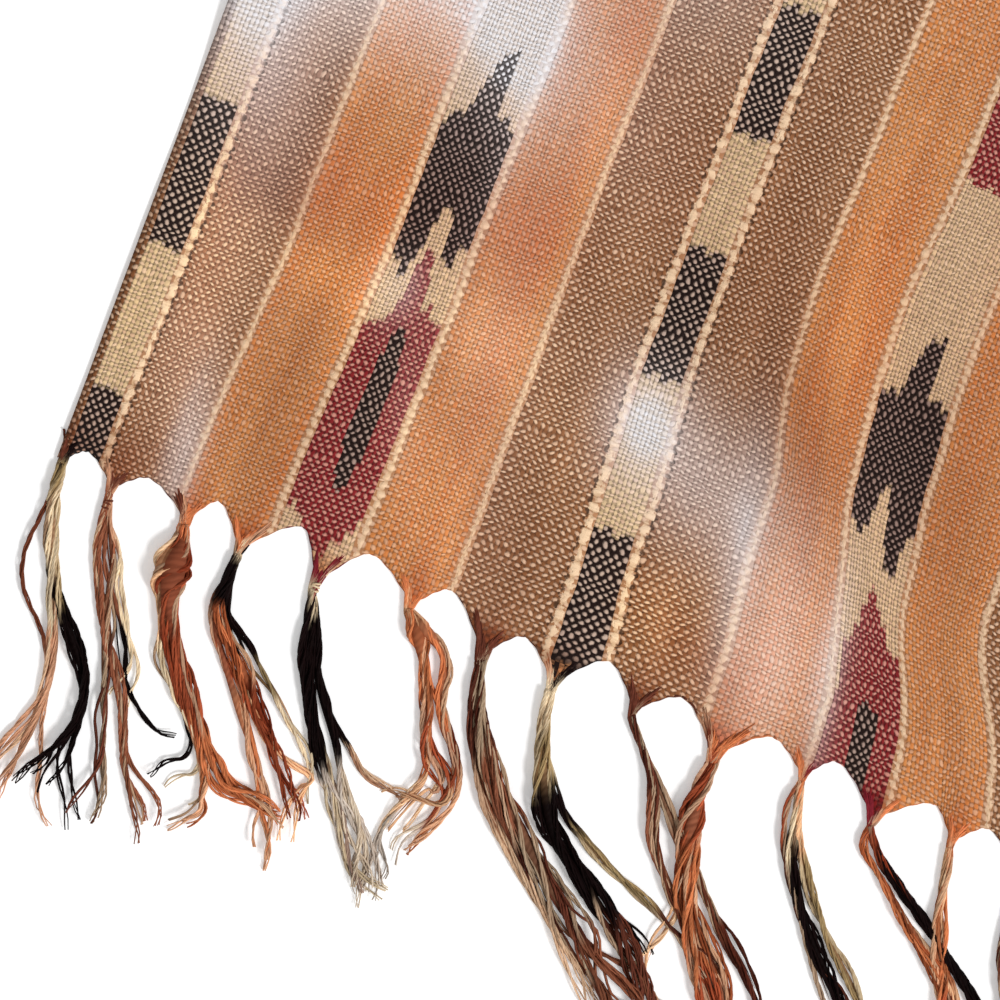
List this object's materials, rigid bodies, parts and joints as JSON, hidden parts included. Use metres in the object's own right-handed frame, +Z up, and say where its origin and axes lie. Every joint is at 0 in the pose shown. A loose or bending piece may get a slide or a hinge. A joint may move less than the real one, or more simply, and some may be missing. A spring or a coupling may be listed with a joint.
{
  "type": "ikat scarf",
  "caption": "Long flat handwoven scarf with warp-ikat stripes between plain brown and orange stripes and a row of knotted tassels at each end.",
  "frame": {"origin": "middle of the scarf's footprint, tassels included, on the surface that it lies on", "axes": "+Y along the cloth's length from the near hem to the far hem, +X across its width, +Z up"},
  "size_m": [0.4872, 1.7818, 0.0109],
  "materials": {
    "woven_cloth": "plain-woven cotton, warp-ikat stripes in black, burgundy and cream between brown and orange stripes, dull with a soft sheen",
    "yarn_black": "soft cotton yarn, black with cream strands",
    "yarn_brown": "soft cotton yarn, dark brown",
    "yarn_orange": "soft cotton yarn, rust and orange",
    "yarn_burgundy": "soft cotton yarn, burgundy with cream strands"
  },
  "bodies": {
    "root": {"cloth": "woven_cloth", "tassel_near_01": "yarn_black", "tassel_near_02": "yarn_brown", "tassel_near_03": "yarn_orange", "tassel_near_04": "yarn_orange", "tassel_near_05": "yarn_burgundy", "tassel_near_06": "yarn_orange", "tassel_near_07": "yarn_brown", "tassel_near_08": "yarn_black", "tassel_near_09": "yarn_brown", "tassel_near_10": "yarn_orange", "tassel_near_11": "yarn_orange", "tassel_near_12": "yarn_burgundy", "tassel_near_13": "yarn_orange", "tassel_near_14": "yarn_brown", "tassel_near_15": "yarn_black", "tassel_near_16": "yarn_brown", "tassel_near_17": "yarn_orange", "tassel_near_18": "yarn_burgundy", "tassel_near_19": "yarn_orange", "tassel_near_20": "yarn_brown", "tassel_near_21": "yarn_brown", "tassel_near_22": "yarn_orange", "tassel_near_23": "yarn_orange", "tassel_near_24": "yarn_burgundy", "tassel_near_25": "yarn_orange", "tassel_near_26": "yarn_brown", "tassel_near_27": "yarn_brown", "tassel_far_01": "yarn_black", "tassel_far_02": "yarn_brown", "tassel_far_03": "yarn_orange", "tassel_far_04": "yarn_burgundy", "tassel_far_05": "yarn_orange", "tassel_far_06": "yarn_orange", "tassel_far_07": "yarn_brown", "tassel_far_08": "yarn_brown", "tassel_far_09": "yarn_orange", "tassel_far_10": "yarn_orange", "tassel_far_11": "yarn_burgundy", "tassel_far_12": "yarn_orange", "tassel_far_13": "yarn_brown", "tassel_far_14": "yarn_black", "tassel_far_15": "yarn_brown", "tassel_far_16": "yarn_orange", "tassel_far_17": "yarn_burgundy", "tassel_far_18": "yarn_orange", "tassel_far_19": "yarn_orange", "tassel_far_20": "yarn_black", "tassel_far_21": "yarn_brown", "tassel_far_22": "yarn_orange", "tassel_far_23": "yarn_burgundy", "tassel_far_24": "yarn_burgundy", "tassel_far_25": "yarn_orange", "tassel_far_26": "yarn_brown", "tassel_far_27": "yarn_brown"}
  },
  "joints": []
}
